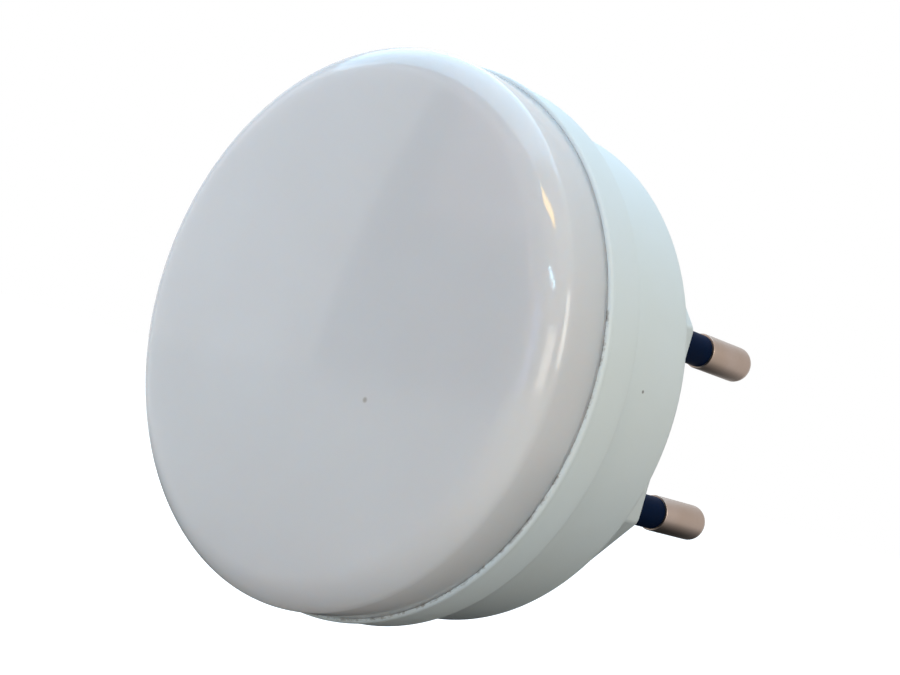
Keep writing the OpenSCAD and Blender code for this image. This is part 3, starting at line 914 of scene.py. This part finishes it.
def lacquered_resistor(name, body_mm, coat, bands):
    """A lacquered body that lies along X, with four painted bands, and tinned leads past its ends."""
    material, tree, shader, position = new_material(name)
    x = add(tree, "SeparateXYZ", {0: position}).outputs["X"]
    side = add(tree, "Math", {0: x}, operation="ABSOLUTE").outputs[0]
    along = add(tree, "MapRange", {"Value": side, "From Min": (RESISTOR_X - body_mm / 2) * MM,
                                   "From Max": (RESISTOR_X + body_mm / 2) * MM}).outputs[0]
    ramp = add(tree, "ValToRGB", {"Fac": along})
    stops = ramp.color_ramp.elements
    ramp.color_ramp.interpolation = "CONSTANT"
    stops[0].color = stops[1].color = linear(coat)
    for i, band in enumerate(bands):
        start = FIRST_BAND + i * BAND_STEP
        stops.new(start).color = linear(band)
        stops.new(start + BAND_WIDTH).color = linear(coat)
    offset = add(tree, "Math", {0: side, 1: RESISTOR_X * MM}, operation="SUBTRACT").outputs[0]
    reach = add(tree, "Math", {0: offset}, operation="ABSOLUTE").outputs[0]
    lead = add(tree, "Math", {0: reach, 1: (body_mm / 2 + END_MARGIN) * MM},
               operation="GREATER_THAN").outputs[0]
    body = add(tree, "Mix", {"Factor": lead, "A": ramp.outputs["Color"], "B": linear("#C4C3BE")},
               data_type="RGBA")
    tree.links.new(body.outputs["Result"], shader.inputs["Base Color"])
    tree.links.new(lead, shader.inputs["Metallic"])
    skin = add(tree, "TexNoise", {"Vector": position, "Scale": per_metre(0.6), "Detail": 2.0})
    bump = add(tree, "Bump", {"Height": skin.outputs["Fac"], "Strength": 0.2, "Distance": 0.03 * MM})
    tree.links.new(bump.outputs["Normal"], shader.inputs["Normal"])
    shader.inputs["Roughness"].default_value = 0.35
    return finished(material)


BROWN, BLACK, YELLOW, GOLD = "#5A3A22", "#1B1B1C", "#D8B82E", "#B7963F"
FUSE_COAT = lacquered_resistor("grey_cement_lacquer", 9.0, "#8E9A8C", (BROWN, BLACK, BLACK, GOLD))
BLEED_COAT = lacquered_resistor("beige_carbon_film_lacquer", 6.4, "#CDB68C",
                                (BROWN, BLACK, YELLOW, GOLD))

# %% [markdown]
# ## Dress the inner parts
#
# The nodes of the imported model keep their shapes, and only their material slots are filled. Each
# could be filled where its material is made, but one table shows at a glance which part wears what.

# %% Give the inner parts their materials
INSIDE = {
    "reflector_tray": WHITE_TRAY, "switch_plunger": BLACK_CASE, "switch_body": BLACK_CASE,
    "bridge_rectifier": BLACK_CASE, "pin_retainer": FIBRE_PLATE, "dropper_capacitor": YELLOW_CASE,
    "contact_upper": BRASS, "contact_lower": BRASS, "retainer_screw": ZINC, "board_screws": ZINC,
    "circuit_board": BOARD, "leds": LED_FACE, "smoothing_capacitor": CAN, "fuse_resistor": FUSE_COAT,
    "bleed_resistors": BLEED_COAT,
}
for name, material in INSIDE.items():
    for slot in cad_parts[name].material_slots:
        slot.material = material
    print(f"{name}: {material.name}")

# %% [markdown]
# ## Light
#
# The light in the photograph comes from a large cool window, above and to the left, and from a dim
# room on the left, in front and on the right. A warm lamp and a small window show as two bright
# spots on the front's rounded edge. A sun lamp would give hard shadows and no shape in the
# reflections, so each of these is an area lamp, broad for the room and small for the two spots.
# They were rendered one at a time, their strengths and tints were worked out together from that, and a
# few were then adjusted.

# %% Lamps
LAMP_DISTANCE = 0.8


def lamp(name, azimuth, elevation, size, power, colour, height=None):
    """An area lamp in a direction from the object, turned towards it. Azimuth 0 is in front."""
    a, e = math.radians(azimuth), math.radians(elevation)
    direction = Vector((math.sin(a) * math.cos(e), -math.cos(a) * math.cos(e), math.sin(e)))
    data = bpy.data.lights.new(name, "AREA")
    data.shape = "RECTANGLE"
    data.size = size
    data.size_y = height or size
    data.energy = power
    data.color = linear(colour)[:3]
    light = bpy.data.objects.new(name, data)
    light.location = AIM + LAMP_DISTANCE * direction
    light.rotation_euler = (-direction).to_track_quat("-Z", "Y").to_euler()
    bpy.context.scene.collection.objects.link(light)
    print(f"{name}: {power} W from azimuth {azimuth}, elevation {elevation}")


lamp("window", -102, 68, 1.2, 10.5, "#B6E2FF")
lamp("room_left", -65, 12, 0.6, 1.04, "#FEFFFB")
lamp("room_front_left", -25, 25, 0.4, 0.30, "#FFD7D4")
lamp("room_front", 12, 5, 0.3, 0.44, "#7AA8FF")
lamp("room_right", 55, 5, 0.3, 1.06, "#FFF9EC")
lamp("far_right", 95, 18, 0.35, 2.04, "#FFFCEE")
lamp("warm_lamp", 34, 49, 0.26, 0.85, "#FFCC50", height=0.09)
lamp("small_window", 37, 28, 0.22, 0.4, "#B4E8FF", height=0.04)

# %% [markdown]
# ## Floor and background
#
# A white background could come from strong lamps on a backdrop, but they would wash out the object.
# Here floor and world are white only for the rays that the camera, reflections and clear materials send
# out, so they add no light. The camera sees the floor glow less only right under the object, as a
# painted shadow, so most of its shadow is lost, and a faint patch is left. The floor's colour paints a
# pool of warm light in front of the object and shade behind it, and the object's bounce light comes
# from that painted colour, where the photograph's front is warm from below. For reflections the glow is
# painted dark below the rear housing, as a painted shadow, since its underside is nearly black in the
# photograph.

# %% Rays that see white


def seen_rays(tree):
    """1 for a ray of the camera, and 1 for any ray that shows the white background."""
    rays = add(tree, "LightPath").outputs
    seen = add(tree, "Math", {0: rays["Is Camera Ray"], 1: rays["Is Glossy Ray"]}, operation="MAXIMUM")
    seen = add(tree, "Math", {0: seen.outputs[0], 1: rays["Is Transmission Ray"]}, operation="MAXIMUM")
    return rays["Is Camera Ray"], seen.outputs[0]


# %% Floor
FLOOR_Z = -34 * MM
FLOOR_SIZE = 3.0
FLOOR_SIDES = 64
# Centre of the painted shadow that reflections see below the rear housing
PAINTED_SHADOW_MIDDLE = Vector((-30, 20, 0)) * MM
GLOW_IN_PAINTED_SHADOW = 0.6
REFLECTED_GLOW_IN_PAINTED_SHADOW = 0.02
# The floor's colour for light bouncing onto the object: painted shade behind it and a painted pool of
# warm light in front
PAINTED_SHADE_BEHIND = linear("#272727")
PAINTED_WARM_LIGHT_IN_FRONT = linear("#EDDDCB")
PAPER = linear("#C4C4C4")


def floor_material():
    material = bpy.data.materials.new("pale_floor")
    material.use_nodes = True
    tree = material.node_tree
    tree.nodes.clear()
    of_camera, seen = seen_rays(tree)
    position = add(tree, "TexCoord").outputs["Object"]
    reach = add(tree, "VectorMath", {0: position}, operation="LENGTH").outputs["Value"]
    # Painted shadow: the camera sees the floor glow less right under the object
    near = add(tree, "MapRange", {"Value": reach, "From Min": 5 * MM, "From Max": 20 * MM,
                                  "To Min": GLOW_IN_PAINTED_SHADOW, "To Max": 1.0})
    # Painted shadow for reflections: the glow is dark below the rear housing
    behind = add(tree, "VectorMath", {0: position, 1: PAINTED_SHADOW_MIDDLE}, operation="DISTANCE")
    shaded = add(tree, "MapRange", {"Value": behind.outputs["Value"], "From Min": 40 * MM,
                                    "From Max": 120 * MM, "To Min": REFLECTED_GLOW_IN_PAINTED_SHADOW,
                                    "To Max": 1.0})
    y = add(tree, "SeparateXYZ", {0: position}).outputs["Y"]
    # The painted pool of warm light starts in front of the object
    in_front = add(tree, "MapRange", {"Value": y, "From Min": -36 * MM, "From Max": -60 * MM})
    painted_floor_light = add(tree, "Mix", {"Factor": in_front.outputs[0], "A": PAINTED_SHADE_BEHIND, "B": PAINTED_WARM_LIGHT_IN_FRONT},
                 data_type="RGBA")
    glow = add(tree, "Mix", {"Factor": of_camera, "A": shaded.outputs[0], "B": near.outputs[0]})
    glow = add(tree, "Math", {0: glow.outputs[0], 1: seen}, operation="MULTIPLY").outputs[0]
    paper = add(tree, "Mix", {"Factor": of_camera, "A": painted_floor_light.outputs["Result"], "B": PAPER},
                data_type="RGBA")
    matt = add(tree, "BsdfDiffuse", {"Color": paper.outputs["Result"]})
    white = add(tree, "Emission", {"Strength": glow})
    surface = add(tree, "AddShader", {0: matt.outputs[0], 1: white.outputs[0]})
    add(tree, "OutputMaterial", {"Surface": surface.outputs[0]})
    return finished(material)


floor_mesh = bmesh.new()
bmesh.ops.create_circle(floor_mesh, cap_ends=True, radius=FLOOR_SIZE, segments=FLOOR_SIDES)
floor = to_object("floor", floor_mesh)
floor.location.z = FLOOR_Z
floor.data.materials.append(floor_material())

# %% Background
AMBIENT_COLOUR = linear("#EDF3FF")
AMBIENT_STRENGTH = 0.1

world = bpy.data.worlds.new("white_room")
bpy.context.scene.world = world
world.use_nodes = True
world.node_tree.nodes.clear()
world_seen = seen_rays(world.node_tree)[1]
ambient = add(world.node_tree, "Background", {"Color": AMBIENT_COLOUR, "Strength": AMBIENT_STRENGTH})
white = add(world.node_tree, "Background", {"Color": linear("#FFFFFF"), "Strength": 1.0})
either = add(world.node_tree, "MixShader", {0: world_seen, 1: ambient.outputs[0], 2: white.outputs[0]})
add(world.node_tree, "OutputWorld", {"Surface": either.outputs[0]})
print("ambient light:", AMBIENT_STRENGTH, "of white")
